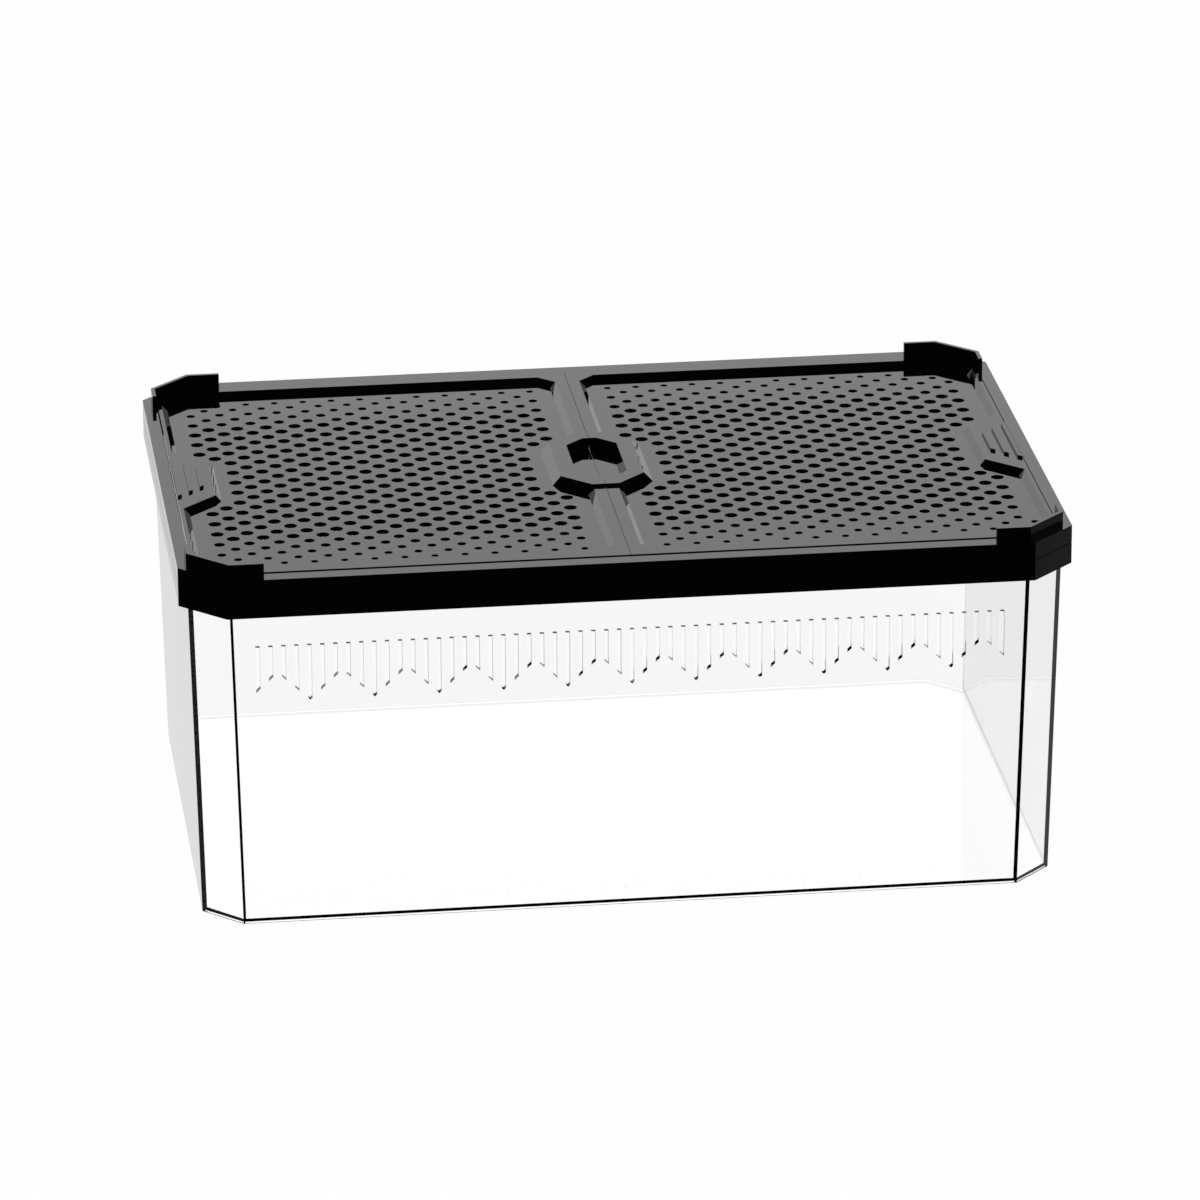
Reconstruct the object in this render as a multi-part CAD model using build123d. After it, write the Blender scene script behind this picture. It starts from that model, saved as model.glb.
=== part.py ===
from build123d import *
import os
from math import radians, sqrt, tan

# Reptile breeding box: a clear tub with a black collar on its mouth, and a
# black lid of one frame and two perforated leaves that meet at the middle.
# Millimetres. X runs along the box, Y from front to back, Z up.
# The origin is the middle of the base, on the surface that the box stands on.

# Overall sizes
lid_length = 300.0
lid_width = 200.0
lid_corner = 15.0
rim_height = 125.1

# Tub
end_wall_inset = 3.2
long_wall_inset = 3.85
tub_corner = 12.9
wall_draft = 1.23
tub_wall = 2.5
floor_thickness = 2.5
foot_depth = 0.8
flange_thickness = 1.3
flange_clearance = 0.3

# Vent slots in the tub's long walls
slot_count = 59
slot_pitch = 4.306
slot_width = 1.45
slot_top_drop = 12.0
slot_tip_drop = 31.5
slots_per_wave = 5
wave_slope = 0.94

# Collar
collar_height = 7.1
collar_skirt_depth = 1.5
collar_skirt_wall = 2.0
collar_clearance = 0.25
seam_relief = 0.3

# Lid frame
frame_depth = 6.3
rail_width = 5.5
end_rail_width = 4.35
ledge_reach = 2.1
ledge_thickness = 1.5
ledge_end_gap = 9.0
spigot_wall = 1.6
spigot_depth = 2.0
spigot_clearance = 0.3
groove_width = 2.3
groove_depth = 4.5

# Stacking lugs on the lid frame's corners
lug_height = 4.6
lug_inset = 2.9
lug_wall = 1.3
lug_front_reach = 27.7
lug_side_reach = 24.5

# Leaves
leaf_gap = 0.9
leaf_end_gap = 0.45
leaf_corner_gap = 0.5
leaf_raise = 0.3
leaf_thickness = 4.0
leaf_corner = 11.1
split_gap = 0.15
recess_depth = 2.0
recess_border = 4.2
recess_end_border = 1.35
recess_corner = 11.75
spine_half_width = 4.25
spine_corner = 5.7
panel_thickness = 1.6

# Middle boss and its finger pocket
boss_half_length = 14.3
boss_half_width = 26.2
boss_corner = 9.6
boss_height = 0.95
pocket_border = 5.6
pocket_depth = 4.0
pocket_wall = 1.6

# Pads at the outer ends, each with three ribs
pad_reach = 11.65
pad_half_width = 17.0
rib_count = 3
rib_width = 1.45
rib_height = 0.85
rib_pitch = 4.0
rib_edge_gap = 0.2
rib_end_gap = 11.7

# Trunnions that the leaves rock on
pivot_inset = 14.9
pivot_depth = 2.1
trunnion_radius = 0.9
trunnion_length = 3.1
trunnion_root = 1.5
trunnion_clearance = 0.1
trunnion_end_gap = 0.4

# Vent holes, in rows that are staggered by half a pitch
hole_pitch = 10.03
hole_side = 3.65
hole_land = 1.0
hole_border = 7.0
fine_rows = 5

# What follows from the sizes
half_length = lid_length / 2
half_width = lid_width / 2
floor_top = foot_depth + floor_thickness
parting_height = rim_height - frame_depth
collar_bottom = parting_height - collar_height
mouth_height = collar_bottom + collar_skirt_depth
mouth_spread = mouth_height * tan(radians(wall_draft))
base_half_length = half_length - end_wall_inset - mouth_spread
base_half_width = half_width - long_wall_inset - mouth_spread
leaf_top = rim_height + leaf_raise
leaf_bottom = leaf_top - leaf_thickness
recess_floor = leaf_top - recess_depth
boss_top = leaf_top + boss_height
boss_rise = boss_top - recess_floor
pocket_floor = boss_top - pocket_depth
opening_half_length = half_length - end_rail_width
opening_half_width = half_width - rail_width
leaf_half_length = opening_half_length - leaf_end_gap
leaf_half_width = opening_half_width - leaf_gap
opening_corner = leaf_corner + leaf_gap + leaf_end_gap - leaf_corner_gap * sqrt(2)
collar_width = end_rail_width + collar_clearance
recess_end = leaf_half_length - recess_end_border
recess_side = leaf_half_width - recess_border
pivot_x = leaf_half_length - pivot_inset
pivot_z = leaf_top - pivot_depth
ledge_end = pivot_x - ledge_end_gap
pad_near = recess_end - pad_reach
far_away = lid_length


def cut_corner(corner, inset):
    """Leg of a 45 degree corner after all sides move inward by the inset."""
    return corner - inset * (2 - sqrt(2))


def octagon(half_x, half_y, corner, inset=0.0):
    """Rectangle with 45 degree corners, with every side moved in by the inset."""
    x = half_x - inset
    y = half_y - inset
    leg = cut_corner(corner, inset)
    points = [(x, leg - y), (x, y - leg), (x - leg, y), (leg - x, y)]
    points += [(-x, y - leg), (-x, leg - y), (leg - x, -y), (x - leg, -y)]
    return make_face(Polyline(*points, close=True))


def prism(outline, bottom, top):
    return extrude(Pos(0, 0, bottom) * outline, amount=top - bottom)


def tapered(lower_outline, bottom, upper_outline, top):
    return loft([Pos(0, 0, bottom) * lower_outline, Pos(0, 0, top) * upper_outline], ruled=True)


def lid_outline(inset=0.0):
    return octagon(half_length, half_width, lid_corner, inset)


def tub_outline(height, inset=0.0):
    """Outline of the tub at a height, wider towards the mouth by the draft."""
    spread = height * tan(radians(wall_draft))
    return octagon(base_half_length + spread, base_half_width + spread, tub_corner, inset)


def slot_foot(x):
    """Lower end of the slots: a zigzag line with a low tip every few slots."""
    wave = slots_per_wave * slot_pitch
    from_tip = abs(x - wave * round(x / wave))
    return collar_bottom - slot_tip_drop + wave_slope * from_tip


def make_slot(index):
    """One slot as a bar through both long walls, with its foot on the zigzag."""
    middle = (index - (slot_count - 1) / 2) * slot_pitch
    left = middle - slot_width / 2
    right = middle + slot_width / 2
    top = collar_bottom - slot_top_drop
    points = [(left, top), (left, slot_foot(left))]
    is_tip = (index - (slot_count - 1) // 2) % slots_per_wave == 0
    if is_tip:
        points.append((middle, slot_foot(middle)))
    points += [(right, slot_foot(right)), (right, top)]
    outline = make_face(Plane.XZ * Polyline(*points, close=True))
    return extrude(outline, amount=half_width, both=True)


def make_tub_base():
    """Floor plate of the clear moulding on a low foot round its edge, apart from
    the walls so that both keep simple shapes."""
    base = tapered(tub_outline(0), 0, tub_outline(floor_top), floor_top)
    hollow = tapered(tub_outline(0, tub_wall), 0, tub_outline(foot_depth, tub_wall), foot_depth)
    return base - hollow


def make_tub():
    """Walls of the clear moulding: drafted, with a flange round the mouth and a
    row of upright vent slots in each long wall."""
    flange_outline = lid_outline(collar_skirt_wall + flange_clearance)
    tub = tapered(tub_outline(floor_top), floor_top, tub_outline(mouth_height), mouth_height)
    tub += prism(flange_outline, mouth_height - flange_thickness, mouth_height)
    tub -= tapered(
        tub_outline(floor_top, tub_wall),
        floor_top,
        tub_outline(mouth_height, tub_wall),
        mouth_height,
    )
    return tub - [make_slot(index) for index in range(slot_count)]


def make_collar():
    """Ring on the tub's flange, with a skirt that hides the flange's edge."""
    ring = prism(lid_outline(), collar_bottom, parting_height)
    ring -= prism(lid_outline(collar_skirt_wall), collar_bottom, mouth_height)
    return ring - prism(lid_outline(collar_width), mouth_height, parting_height)


def make_lugs():
    """A thin upright wall round each corner, which keeps a stacked box in place."""
    wall = prism(lid_outline(lug_inset), rim_height, rim_height + lug_height)
    wall -= prism(lid_outline(lug_inset + lug_wall), rim_height, rim_height + lug_height)
    middle = Pos(0, 0, rim_height)
    wall -= middle * Box(2 * (half_length - lug_front_reach), lid_width, 4 * lug_height)
    return wall - middle * Box(lid_length, 2 * (half_width - lug_side_reach), 4 * lug_height)


def make_rail_fittings():
    """Ledge and spigot under the rear rail: the first carries the leaves, the
    second drops inside the collar."""
    ledge_inner = opening_half_width - ledge_reach
    spigot_outer = half_width - collar_width - spigot_clearance
    spigot_bottom = parting_height - spigot_depth
    ledge = Box(2 * ledge_end, ledge_reach, ledge_thickness, align=(Align.CENTER, Align.MIN, Align.MAX))
    spigot = Box(
        2 * ledge_end,
        spigot_wall,
        leaf_bottom - spigot_bottom,
        align=(Align.CENTER, Align.MAX, Align.MAX),
    )
    return Pos(0, ledge_inner, leaf_bottom) * ledge + Pos(0, spigot_outer, leaf_bottom) * spigot


def make_rail_groove():
    """Hollow in the underside of the rear rail, stopped short of the bores."""
    rail_middle = half_width - rail_width / 2
    groove = Box(
        2 * ledge_end,
        groove_width,
        groove_depth,
        align=(Align.CENTER, Align.CENTER, Align.MIN),
    )
    return Pos(0, rail_middle, parting_height) * groove


def make_pin(x, radius, near, far):
    """Cylinder along Y at the pivot's height, between two distances from the middle."""
    pin = Cylinder(radius, far - near, rotation=(90, 0, 0))
    return Pos(x, (near + far) / 2, pivot_z) * pin


def make_lid_frame():
    """Ring that holds the leaves, with lugs above and ledges and spigots below."""
    opening = octagon(opening_half_length, opening_half_width, opening_corner)
    bore_depth = trunnion_length - leaf_gap + trunnion_end_gap
    frame = prism(lid_outline(), parting_height + seam_relief, rim_height)
    frame += prism(lid_outline(seam_relief), parting_height, parting_height + seam_relief)
    frame -= prism(opening, parting_height, rim_height)
    frame += make_lugs()
    fittings = make_rail_fittings()
    frame += [fittings, mirror(fittings, about=Plane.XZ)]
    cuts = [make_rail_groove()]
    for x in (-pivot_x, pivot_x):
        cuts.append(
            make_pin(
                x,
                trunnion_radius + trunnion_clearance,
                opening_half_width,
                opening_half_width + bore_depth,
            )
        )
    return frame - cuts - [mirror(cut, about=Plane.XZ) for cut in cuts]


def recess_outline(inset=0.0):
    """Recess of the right leaf, from the spine to the border at the outer end."""
    near = spine_half_width + inset
    far = recess_end - inset
    side = recess_side - inset
    near_leg = cut_corner(spine_corner, inset)
    far_leg = cut_corner(recess_corner, inset)
    points = [(near, near_leg - side), (near, side - near_leg), (near + near_leg, side)]
    points += [(far - far_leg, side), (far, side - far_leg), (far, far_leg - side)]
    points += [(far - far_leg, -side), (near + near_leg, -side)]
    return make_face(Polyline(*points, close=True))


def pad_outline(outset=0.0):
    """Trapezoid that widens at 45 degrees towards the right leaf's outer end."""
    near = pad_near - outset
    near_half = pad_half_width + outset * tan(radians(22.5))
    far_half = near_half + leaf_half_length - near
    points = [(near, -near_half), (near, near_half)]
    points += [(leaf_half_length, far_half), (leaf_half_length, -far_half)]
    return make_face(Polyline(*points, close=True))


def boss_outline(inset=0.0):
    return octagon(boss_half_length, boss_half_width, boss_corner, inset)


def floor_outline():
    """Flat floor of the recess, between the feet of its 45 degree walls."""
    floor = recess_outline(recess_depth) - boss_outline(-boss_rise)
    return floor - pad_outline(recess_depth)


def make_ribs():
    """Ribs across the pad, each shorter than the last by the pad's taper."""
    ribs = []
    for index in range(rib_count):
        far = leaf_half_length - rib_edge_gap - index * rib_pitch
        near = far - rib_width
        far_half = pad_half_width + far - pad_near - rib_end_gap
        near_half = far_half - rib_width
        points = [(near, -near_half), (near, near_half), (far, far_half), (far, -far_half)]
        outline = make_face(Polyline(*points, close=True))
        ribs.append(prism(outline, leaf_top, leaf_top + rib_height))
    return ribs


def make_right_leaf():
    """Border, half spine, half boss with half the pocket, pad, ribs and trunnions."""
    boss = tapered(boss_outline(-boss_rise), recess_floor, boss_outline(), boss_top)
    pad = tapered(pad_outline(recess_depth), recess_floor, pad_outline(), leaf_top)
    recess = tapered(recess_outline(recess_depth), recess_floor, recess_outline(), leaf_top)
    leaf = prism(octagon(leaf_half_length, leaf_half_width, leaf_corner), leaf_bottom, leaf_top)
    leaf -= recess - boss - pad
    leaf -= prism(floor_outline(), leaf_bottom, recess_floor)
    leaf += boss
    leaf += prism(boss_outline(pocket_border - pocket_wall), pocket_floor - pocket_wall, recess_floor)
    leaf -= prism(boss_outline(pocket_border), pocket_floor, boss_top)
    leaf += make_ribs()
    pin = make_pin(
        pivot_x,
        trunnion_radius,
        leaf_half_width - trunnion_root,
        leaf_half_width + trunnion_length,
    )
    leaf += [pin, mirror(pin, about=Plane.XZ)]
    right_side = Pos(split_gap / 2, 0, rim_height) * Box(
        far_away,
        far_away,
        far_away,
        align=(Align.MIN, Align.CENTER, Align.CENTER),
    )
    return leaf & right_side


def clears_boss(x, y):
    """True where a hole leaves a land beside the boss's foot."""
    margin = boss_rise + hole_side / 2 + hole_land
    beside = x > boss_half_length + margin
    corner_line = boss_half_length + boss_half_width - boss_corner
    return beside or x + abs(y) > corner_line + margin * sqrt(2)


def clears_pad(x, y):
    """True where a hole leaves a land beside the pad's foot."""
    margin = recess_depth + hole_side / 2 + hole_land
    before = x < pad_near - margin
    return before or abs(y) - x > pad_half_width - pad_near + margin * sqrt(2)


def hole_centres():
    """Staggered rows, centred on the recess floor. The outermost rows of finer
    holes are left out."""
    floor_near = spine_half_width + recess_depth
    floor_far = recess_end - recess_depth
    floor_side = recess_side - recess_depth
    middle = (floor_near + floor_far) / 2
    columns = int(((floor_far - floor_near) / 2 - hole_border) / hole_pitch)
    rows = int((floor_side - hole_border) / (hole_pitch / 2)) - fine_rows
    centres = []
    for row in range(-rows, rows + 1):
        is_staggered = row % 2 == 1
        shift = hole_pitch / 2 if is_staggered else 0.0
        for column in range(-columns, columns + (0 if is_staggered else 1)):
            x = middle + column * hole_pitch + shift
            y = row * hole_pitch / 2
            if clears_boss(x, y) and clears_pad(x, y):
                centres.append((x, y))
    return centres


def make_right_vent_panel():
    """Perforated floor of the right leaf's recess."""
    holes = [Pos(x, y) * Rectangle(hole_side, hole_side) for x, y in hole_centres()]
    outline = floor_outline() - holes
    return prism(outline, recess_floor - panel_thickness, recess_floor)


def make_parts():
    right_leaf = make_right_leaf()
    right_vent_panel = make_right_vent_panel()
    return {
        "tub_base": make_tub_base(),
        "tub": make_tub(),
        "collar": make_collar(),
        "lid_frame": make_lid_frame(),
        "right_leaf": right_leaf,
        "right_vent_panel": right_vent_panel,
        "left_leaf": mirror(right_leaf, about=Plane.YZ),
        "left_vent_panel": mirror(right_vent_panel, about=Plane.YZ),
    }


os.makedirs("parts", exist_ok=True)
for name, part in make_parts().items():
    export_step(part, f"parts/{name}.step")
    print(name, round(part.volume))
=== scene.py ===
from math import cos, hypot, pi, radians, sin, sqrt

import bmesh
import bpy
from mathutils import Matrix, Vector
from mathutils.geometry import delaunay_2d_cdt


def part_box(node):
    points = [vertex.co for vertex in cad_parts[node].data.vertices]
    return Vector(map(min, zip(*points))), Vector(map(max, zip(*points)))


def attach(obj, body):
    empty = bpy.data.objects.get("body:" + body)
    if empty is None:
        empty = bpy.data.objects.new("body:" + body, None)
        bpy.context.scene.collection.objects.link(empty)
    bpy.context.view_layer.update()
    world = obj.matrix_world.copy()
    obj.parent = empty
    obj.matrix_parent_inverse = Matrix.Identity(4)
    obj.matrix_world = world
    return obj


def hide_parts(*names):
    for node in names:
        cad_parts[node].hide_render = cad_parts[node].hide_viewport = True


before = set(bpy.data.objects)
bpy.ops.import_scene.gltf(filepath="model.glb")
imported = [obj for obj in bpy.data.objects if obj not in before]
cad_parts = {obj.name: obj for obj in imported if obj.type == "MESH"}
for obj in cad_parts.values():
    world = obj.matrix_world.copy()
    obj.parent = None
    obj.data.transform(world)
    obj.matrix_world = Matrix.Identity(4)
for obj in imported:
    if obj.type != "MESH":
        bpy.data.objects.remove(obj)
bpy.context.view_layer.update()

# Reptile breeding box: a clear tub with a glossy black collar, and a black lid
# with two perforated leaves. Metres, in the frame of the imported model.

# Camera, fitted to the photograph
camera_azimuth = -7.005
camera_elevation = 20.726
camera_roll = -0.304
camera_distance = 2.64506
camera_target = (0.00337, 0.00785, 0.0711)
focal_pixels = 7634.0
image_pixels = 1200.0
sensor_width = 36.0
# Where the lens axis meets the image, right of and below its centre, in pixels
principal_offset = (4.09, -0.03)

# Studio: a bright ring above the horizon, a dark ceiling, a pale floor
ring_strength = 1.4
# Height of a direction, from the horizon (0) to straight up (1)
horizon = 0.0
ring_full = 0.09
ring_fade = 0.40
ceiling_start = 0.56
floor_half_size = 6.0
floor_drop = 0.0002
floor_colour = 0.8
floor_white_share = 0.985
lamp_height = 2.0
lamp_size = 1.5
lamp_watts = 20.0

# At this blend, Facing is one minus the cosine of the viewing angle
facing_blend = 0.5

# Black plastic
black = 0.0012
black_index = 1.5
black_gloss_low = 0.02
black_gloss_high = 0.045
black_edge_tint = 0.015
# From head on (0) to edgewise (1), and the level of the reflection there
sheen_stops = ((0.455, 0.0), (0.62, 0.5), (0.93, 0.5), (0.942, 0.02))
peel_scale = 900.0
peel_detail = 2.0
peel_strength = 0.01
peel_distance = 0.0001

# Clear plastic
clear_index = 1.49
clear_edge_tint = 0.05
# From head on (0) to edgewise (1), and the colour there: a faint grey tint head on, and painted
# shade that darkens the walls to black when seen edgewise
tint_and_edge_shade_stops = ((0.15, 0.965), (0.5, 1.0), (0.70, 1.0), (0.90, 0.0))
# The painted shade on the walls' inner faces goes no darker than this
inner_edge_shade_limit = 0.65

# Base of the clear tub
tub_wall = 0.0025
floor_front_height = 0.0012
foot_width = 0.0016
foot_height = 0.0003

# Round vent holes of one leaf, in rows staggered by half a pitch
hole_pitch = 0.01003
row_step = 0.005014
row_count = 33
first_hole = 0.01384
hole_diameter = 0.00445
fine_diameters = (0.0025, 0.0028, 0.0031, 0.0034, 0.0037)
hole_sides = 20
# Least width left between a hole and the edge of the panel
hole_land = 0.000925
fine_land = 0.001

# Points nearer than the first count as one, and heights nearer than the second as level
weld_distance = 1e-5
level_distance = 1e-6
# Triangulation: which triangles it keeps (1: inside the outline), and its tolerance
keep_inside = 1
triangle_tolerance = 1e-7


def link_object(name, data):
    made = bpy.data.objects.new(name, data)
    bpy.context.scene.collection.objects.link(made)
    return made


def make_camera():
    """The photograph's view: its direction, roll, lens and image centre."""
    azimuth = radians(camera_azimuth)
    elevation = radians(camera_elevation)
    roll = radians(camera_roll)
    back = Vector(
        (sin(azimuth) * cos(elevation), -cos(azimuth) * cos(elevation), sin(elevation))
    )
    right = (-back).cross(Vector((0, 0, 1))).normalized()
    up = right.cross(-back)
    rolled_right = right * cos(roll) + up * sin(roll)
    rolled_up = up * cos(roll) - right * sin(roll)
    data = bpy.data.cameras.new("camera")
    data.sensor_width = sensor_width
    data.lens = focal_pixels / image_pixels * sensor_width
    data.shift_x = -principal_offset[0] / image_pixels
    data.shift_y = principal_offset[1] / image_pixels
    camera = link_object("camera", data)
    turn = Matrix((rolled_right, rolled_up, back)).transposed().to_4x4()
    place = Matrix.Translation(Vector(camera_target) + back * camera_distance)
    camera.matrix_world = place @ turn
    bpy.context.scene.camera = camera


def node(tree, kind, **values):
    """A new shader node with its plain input values set by name."""
    made = tree.nodes.new(kind)
    for name, value in values.items():
        made.inputs[name].default_value = value
    return made


def ramp_of(tree, value, stops):
    """A ramp on a value, with grey stops as pairs of position and level."""
    ramp = node(tree, "ShaderNodeValToRGB")
    elements = ramp.color_ramp.elements
    while len(elements) < len(stops):
        elements.new(1.0)
    for element, (position, level) in zip(elements, stops):
        element.position = position
        element.color = (level, level, level, 1)
    tree.links.new(value, ramp.inputs[0])
    return ramp.outputs[0]


def combine(tree, operation, first, second):
    """A math node on a socket and on a second socket or a number."""
    made = node(tree, "ShaderNodeMath")
    made.operation = operation
    tree.links.new(first, made.inputs[0])
    if isinstance(second, float):
        made.inputs[1].default_value = second
    else:
        tree.links.new(second, made.inputs[1])
    return made.outputs[0]


def new_material(name):
    material = bpy.data.materials.new(name)
    material.use_nodes = True
    return material


def make_world():
    """White at the horizon, a bright ring above it, and a dark ceiling."""
    world = bpy.data.worlds.new("studio")
    bpy.context.scene.world = world
    world.use_nodes = True
    tree = world.node_tree
    tree.nodes.clear()
    direction = node(tree, "ShaderNodeTexCoord")
    split = node(tree, "ShaderNodeSeparateXYZ")
    tree.links.new(direction.outputs["Generated"], split.inputs[0])
    white = 1.0 / ring_strength
    stops = ((horizon, white), (ring_full, 1.0), (ring_fade, 1.0), (ceiling_start, 0.0))
    level = ramp_of(tree, split.outputs["Z"], stops)
    studio = node(tree, "ShaderNodeBackground", Strength=ring_strength)
    tree.links.new(level, studio.inputs["Color"])
    output = node(tree, "ShaderNodeOutputWorld")
    tree.links.new(studio.outputs[0], output.inputs["Surface"])


def make_lamp():
    """A wide soft lamp overhead that lights matte surfaces only."""
    data = bpy.data.lights.new("soft lamp", "AREA")
    data.shape = "SQUARE"
    data.size = lamp_size
    data.energy = lamp_watts
    lamp = link_object("soft lamp", data)
    lamp.location = (0, 0, lamp_height)
    lamp.visible_camera = False
    lamp.visible_glossy = False
    lamp.visible_transmission = False


def make_floor_material():
    """Pale, and nearly shadeless white wherever it is seen or mirrored."""
    material = new_material("floor")
    tree = material.node_tree
    tree.nodes.clear()
    colour = (floor_colour, floor_colour, floor_colour, 1)
    matte = node(tree, "ShaderNodeBsdfDiffuse", Color=colour)
    glow = node(tree, "ShaderNodeEmission", Color=(1, 1, 1, 1), Strength=1.0)
    ray = node(tree, "ShaderNodeLightPath").outputs
    seen = combine(tree, "MAXIMUM", ray["Is Camera Ray"], ray["Is Transmission Ray"])
    seen = combine(tree, "MAXIMUM", seen, ray["Is Glossy Ray"])
    share = combine(tree, "MULTIPLY", seen, floor_white_share)
    mix = node(tree, "ShaderNodeMixShader")
    tree.links.new(share, mix.inputs[0])
    tree.links.new(matte.outputs[0], mix.inputs[1])
    tree.links.new(glow.outputs[0], mix.inputs[2])
    output = node(tree, "ShaderNodeOutputMaterial")
    tree.links.new(mix.outputs[0], output.inputs["Surface"])
    return material


def make_floor():
    mesh = bpy.data.meshes.new("floor")
    size = floor_half_size
    corners = [(-size, -size, 0), (size, -size, 0), (size, size, 0), (-size, size, 0)]
    mesh.from_pydata(corners, [], [(0, 1, 2, 3)])
    mesh.materials.append(make_floor_material())
    floor = link_object("floor", mesh)
    floor.location.z = -floor_drop


def make_black_plastic():
    """Polished black moulding: it reflects at a low angle, less when nearly edgewise."""
    material = new_material("black_plastic")
    tree = material.node_tree
    shader = tree.nodes["Principled BSDF"]
    shader.inputs["Base Color"].default_value = (black, black, black, 1)
    shader.inputs["IOR"].default_value = black_index
    tint = black_edge_tint
    shader.inputs["Specular Tint"].default_value = (tint, tint, tint, 1)
    edge = node(tree, "ShaderNodeLayerWeight", Blend=facing_blend)
    sheen = ramp_of(tree, edge.outputs["Facing"], sheen_stops)
    tree.links.new(sheen, shader.inputs["Specular IOR Level"])
    place = node(tree, "ShaderNodeTexCoord")
    noise = node(tree, "ShaderNodeTexNoise", Scale=peel_scale, Detail=peel_detail)
    tree.links.new(place.outputs["Object"], noise.inputs["Vector"])
    gloss = node(tree, "ShaderNodeMapRange")
    gloss.inputs["To Min"].default_value = black_gloss_low
    gloss.inputs["To Max"].default_value = black_gloss_high
    tree.links.new(noise.outputs["Fac"], gloss.inputs["Value"])
    tree.links.new(gloss.outputs["Result"], shader.inputs["Roughness"])
    peel = node(tree, "ShaderNodeBump", Strength=peel_strength, Distance=peel_distance)
    tree.links.new(noise.outputs["Fac"], peel.inputs["Height"])
    tree.links.new(peel.outputs["Normal"], shader.inputs["Normal"])
    return material


def make_clear_plastic():
    """Clear moulding: faintly grey head on, with painted shade that darkens it where it is seen
    edgewise from outside."""
    material = new_material("clear_plastic")
    tree = material.node_tree
    shader = tree.nodes["Principled BSDF"]
    shader.inputs["Roughness"].default_value = 0.0
    shader.inputs["IOR"].default_value = clear_index
    shader.inputs["Transmission Weight"].default_value = 1.0
    tint = clear_edge_tint
    shader.inputs["Specular Tint"].default_value = (tint, tint, tint, 1)
    edge = node(tree, "ShaderNodeLayerWeight", Blend=facing_blend)
    by_angle = ramp_of(tree, edge.outputs["Facing"], tint_and_edge_shade_stops)
    # The walls' inner faces have normals that point towards the middle of the box, and there the
    # painted shade is held lighter
    place = node(tree, "ShaderNodeTexCoord")
    outward = node(tree, "ShaderNodeVectorMath")
    outward.operation = "DOT_PRODUCT"
    tree.links.new(place.outputs["Object"], outward.inputs[0])
    tree.links.new(place.outputs["Normal"], outward.inputs[1])
    is_inner = combine(tree, "LESS_THAN", outward.outputs["Value"], 0.0)
    least = combine(tree, "MULTIPLY", is_inner, inner_edge_shade_limit)
    # Faint grey tint and painted shade by viewing angle, held lighter on inner faces
    tint_and_edge_shade = combine(tree, "MAXIMUM", by_angle, least)
    tree.links.new(tint_and_edge_shade, shader.inputs["Base Color"])
    return material


def paint(node_name, material):
    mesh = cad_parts[node_name].data
    mesh.materials.clear()
    mesh.materials.append(material)


def make_piece(name, shape, material):
    """A new object from a finished shape."""
    mesh = bpy.data.meshes.new(name)
    shape.to_mesh(mesh)
    shape.free()
    mesh.materials.append(material)
    return link_object(name, mesh)


def weld(shape):
    bmesh.ops.remove_doubles(shape, verts=shape.verts, dist=weld_distance)


def is_level(vertex, height):
    return abs(vertex.co.z - height) < level_distance


def outline_sizes(node_name, height):
    """Half length, half width and corner leg of an octagonal node at a height."""
    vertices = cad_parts[node_name].data.vertices
    level = [vertex.co for vertex in vertices if is_level(vertex, height)]
    half_x = max(place.x for place in level)
    half_y = max(place.y for place in level)
    straight = max(place.x for place in level if place.y > half_y - level_distance)
    return Vector((half_x, half_y, half_x - straight))


def add_ring(shape, sizes, inset, height):
    """The eight corners of an octagon whose sides are moved inward by the inset."""
    x = sizes[0] - inset
    y = sizes[1] - inset
    leg = sizes[2] - inset * (2 - sqrt(2))
    corners = [(x, leg - y), (x, y - leg), (x - leg, y), (leg - x, y)]
    corners += [(-x, y - leg), (-x, leg - y), (leg - x, -y), (x - leg, -y)]
    return [shape.verts.new((*corner, height)) for corner in corners]


def join_rings(shape, first, second):
    """Faces between two rings, which may share some of their corners."""
    for k in range(len(first)):
        after = (k + 1) % len(first)
        corners = [first[k], first[after], second[after], second[k]]
        corners = [corner for index, corner in enumerate(corners) if corner not in corners[:index]]
        if len(corners) > 2:
            shape.faces.new(corners)


def add_floor(shape, rim):
    """The floor inside the rim: level at the rear, and thinner towards the front."""
    fold = rim[1].co.y
    slope = (rim[0].co.z - floor_front_height) / (fold - rim[-1].co.y)
    floor = []
    for corner in rim:
        drop = slope * (fold - corner.co.y)
        is_lowered = drop > weld_distance
        floor.append(shape.verts.new(corner.co - Vector((0, 0, drop))) if is_lowered else corner)
    join_rings(shape, rim, floor)
    # The level part behind the fold, then the sloping part in front of it
    shape.faces.new([floor[k] for k in (1, 2, 3, 4)])
    shape.faces.new([floor[k] for k in (0, 1, 4, 5, 6, 7)])


def add_base(shape, seam):
    """The floor, and the low foot round its underside, up to the height of the seam."""
    sole = outline_sizes("tub_base", 0.0)
    top = outline_sizes("tub_base", seam)
    outside = add_ring(shape, top, 0, seam)
    sole_outer = add_ring(shape, sole, 0, 0)
    sole_inner = add_ring(shape, sole, foot_width, 0)
    hollow = add_ring(shape, sole, foot_width, foot_height)
    join_rings(shape, outside, sole_outer)
    join_rings(shape, sole_outer, sole_inner)
    join_rings(shape, sole_inner, hollow)
    shape.faces.new(hollow)
    add_floor(shape, add_ring(shape, top, tub_wall, seam))


def make_clear_tub():
    """The tub's CAD walls and a base, as one closed mesh."""
    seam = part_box("tub")[0][2]
    shape = bmesh.new()
    shape.from_mesh(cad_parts["tub"].data)
    weld(shape)
    below = [face for face in shape.faces if all(is_level(vertex, seam) for vertex in face.verts)]
    bmesh.ops.delete(shape, geom=below, context="FACES")
    add_base(shape, seam)
    weld(shape)
    bmesh.ops.recalc_face_normals(shape, faces=shape.faces)
    tub = make_piece("clear_tub", shape, clear_plastic)
    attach(tub, "tub_body")
    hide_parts("tub", "tub_base")


def is_upright(face):
    return abs(face.normal.z) < 0.5


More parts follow.
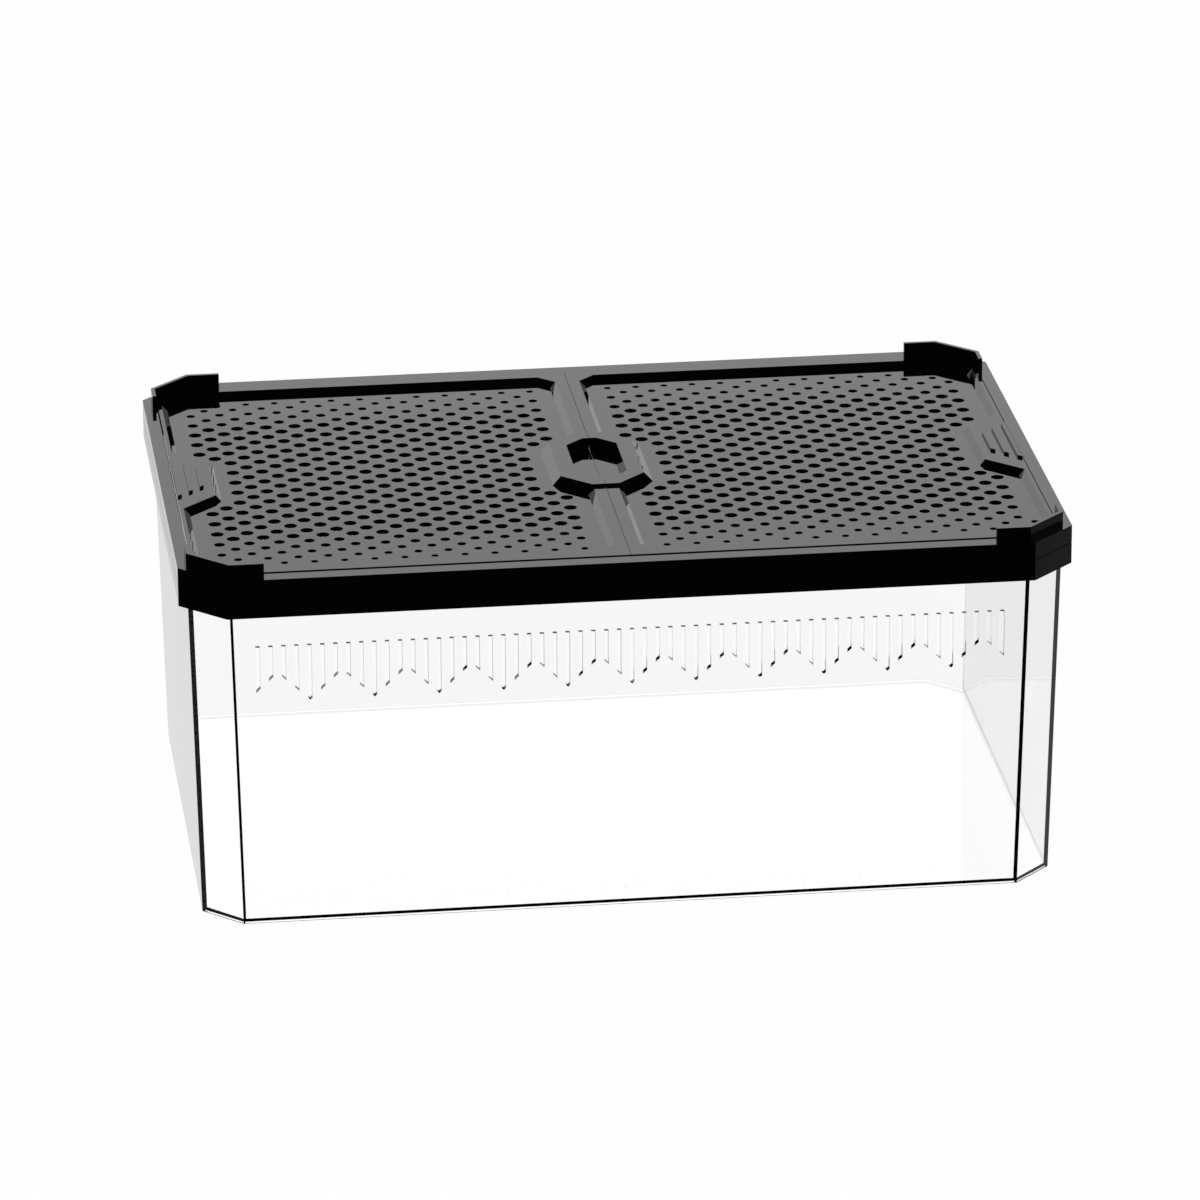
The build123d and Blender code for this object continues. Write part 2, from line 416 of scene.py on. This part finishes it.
def rim_neighbours(shape, top):
    """For each corner of the top face's rims, the two corners next to it."""
    near = {}
    for edge in shape.edges:
        upright = [is_upright(face) for face in edge.link_faces]
        is_rim = any(upright) and not all(upright)
        if is_rim and all(is_level(vertex, top) for vertex in edge.verts):
            first, second = edge.verts
            near.setdefault(first, []).append(second)
            near.setdefault(second, []).append(first)
    return near


def panel_outline(node_name, top):
    """The outer edge of a vent panel's top face, read from its CAD node."""
    shape = bmesh.new()
    shape.from_mesh(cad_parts[node_name].data)
    weld(shape)
    shape.normal_update()
    near = rim_neighbours(shape, top)
    loops = []
    while near:
        start = next(iter(near))
        loop = [start]
        here = near.pop(start)[0]
        while here is not start:
            loop.append(here)
            following = [other for other in near.pop(here) if other is not loop[-2]]
            here = following[0]
        loops.append([(vertex.co.x, vertex.co.y) for vertex in loop])
    shape.free()
    return max(loops, key=lambda loop: max(y for x, y in loop) - min(y for x, y in loop))


def sides_of(outline):
    """The two ends of each side of a closed outline."""
    return zip(outline, outline[1:] + outline[:1])


def distance_to(point, outline):
    """Distance from a point to the nearest side of an outline."""
    distances = []
    for (ax, ay), (bx, by) in sides_of(outline):
        dx, dy = bx - ax, by - ay
        along = ((point[0] - ax) * dx + (point[1] - ay) * dy) / (dx * dx + dy * dy)
        along = min(1.0, max(0.0, along))
        distances.append(hypot(point[0] - ax - along * dx, point[1] - ay - along * dy))
    return min(distances)


def inside(point, outline):
    """Whether a ray from the point crosses the outline an odd number of times."""
    crossings = 0
    for (ax, ay), (bx, by) in sides_of(outline):
        if (ay > point[1]) != (by > point[1]):
            crossings += point[0] < ax + (point[1] - ay) / (by - ay) * (bx - ax)
    return crossings % 2 == 1


def round_holes(side, outline):
    """Centre and radius of each hole of one leaf; side is 1 right, -1 left."""
    reach = max(abs(x) for x, y in outline)
    holes = []
    for row in range(row_count):
        y = ((row_count - 1) / 2 - row) * row_step
        from_edge = min(row, row_count - 1 - row)
        diameter = hole_diameter
        land = hole_land
        if from_edge < len(fine_diameters):
            diameter = fine_diameters[from_edge]
            land = fine_land
        column = 0
        while first_hole + column * hole_pitch < reach:
            x = side * (first_hole + (column + 0.5 * (row % 2)) * hole_pitch)
            clear = distance_to((x, y), outline) > diameter / 2 + land
            if inside((x, y), outline) and clear:
                holes.append((x, y, diameter / 2))
            column += 1
    return holes


def circle(x, y, radius):
    turns = [2 * pi * k / hole_sides for k in range(hole_sides)]
    return [(x + radius * cos(turn), y + radius * sin(turn)) for turn in turns]


def perforated_slab(outline, holes, low, high):
    """A slab between two heights, with round holes through it."""
    loops = [outline] + [circle(*hole) for hole in holes]
    points = []
    edges = []
    owner = []
    for index, loop in enumerate(loops):
        start = len(points)
        points += [Vector(point) for point in loop]
        owner += [index] * len(loop)
        edges += [(start + k, start + (k + 1) % len(loop)) for k in range(len(loop))]
    made = delaunay_2d_cdt(points, edges, [], keep_inside, triangle_tolerance)
    flat, _, triangles, origins, _, _ = made
    shape = bmesh.new()
    top = [shape.verts.new((point.x, point.y, high)) for point in flat]
    bottom = [shape.verts.new((point.x, point.y, low)) for point in flat]
    loop_of = [owner[origin[0]] for origin in origins]
    # A triangle with all its corners on one hole's circle lies in that hole
    for triangle in triangles:
        found = {loop_of[k] for k in triangle}
        is_in_hole = len(found) == 1 and found != {0}
        if not is_in_hole:
            shape.faces.new([top[k] for k in triangle])
            shape.faces.new([bottom[k] for k in reversed(triangle)])
    place = {origin[0]: k for k, origin in enumerate(origins)}
    for first, second in edges:
        a, b = place[first], place[second]
        shape.faces.new([top[a], bottom[a], bottom[b], top[b]])
    bmesh.ops.recalc_face_normals(shape, faces=shape.faces)
    return shape


def make_panel(side, side_name, body):
    """A leaf's floor with its round holes, in place of the CAD one with square holes."""
    node_name = side_name + "_vent_panel"
    low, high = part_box(node_name)
    outline = panel_outline(node_name, high[2])
    shape = perforated_slab(outline, round_holes(side, outline), low[2], high[2])
    panel = make_piece(side_name + "_hole_panel", shape, black_plastic)
    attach(panel, body)
    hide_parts(node_name)


make_camera()
make_world()
make_lamp()
make_floor()
black_plastic = make_black_plastic()
clear_plastic = make_clear_plastic()
for name in ("collar", "lid_frame", "left_leaf", "right_leaf"):
    paint(name, black_plastic)
make_clear_tub()
make_panel(-1, "left", "left_cover")
make_panel(1, "right", "right_cover")

bpy.context.scene.view_settings.view_transform = "Standard"
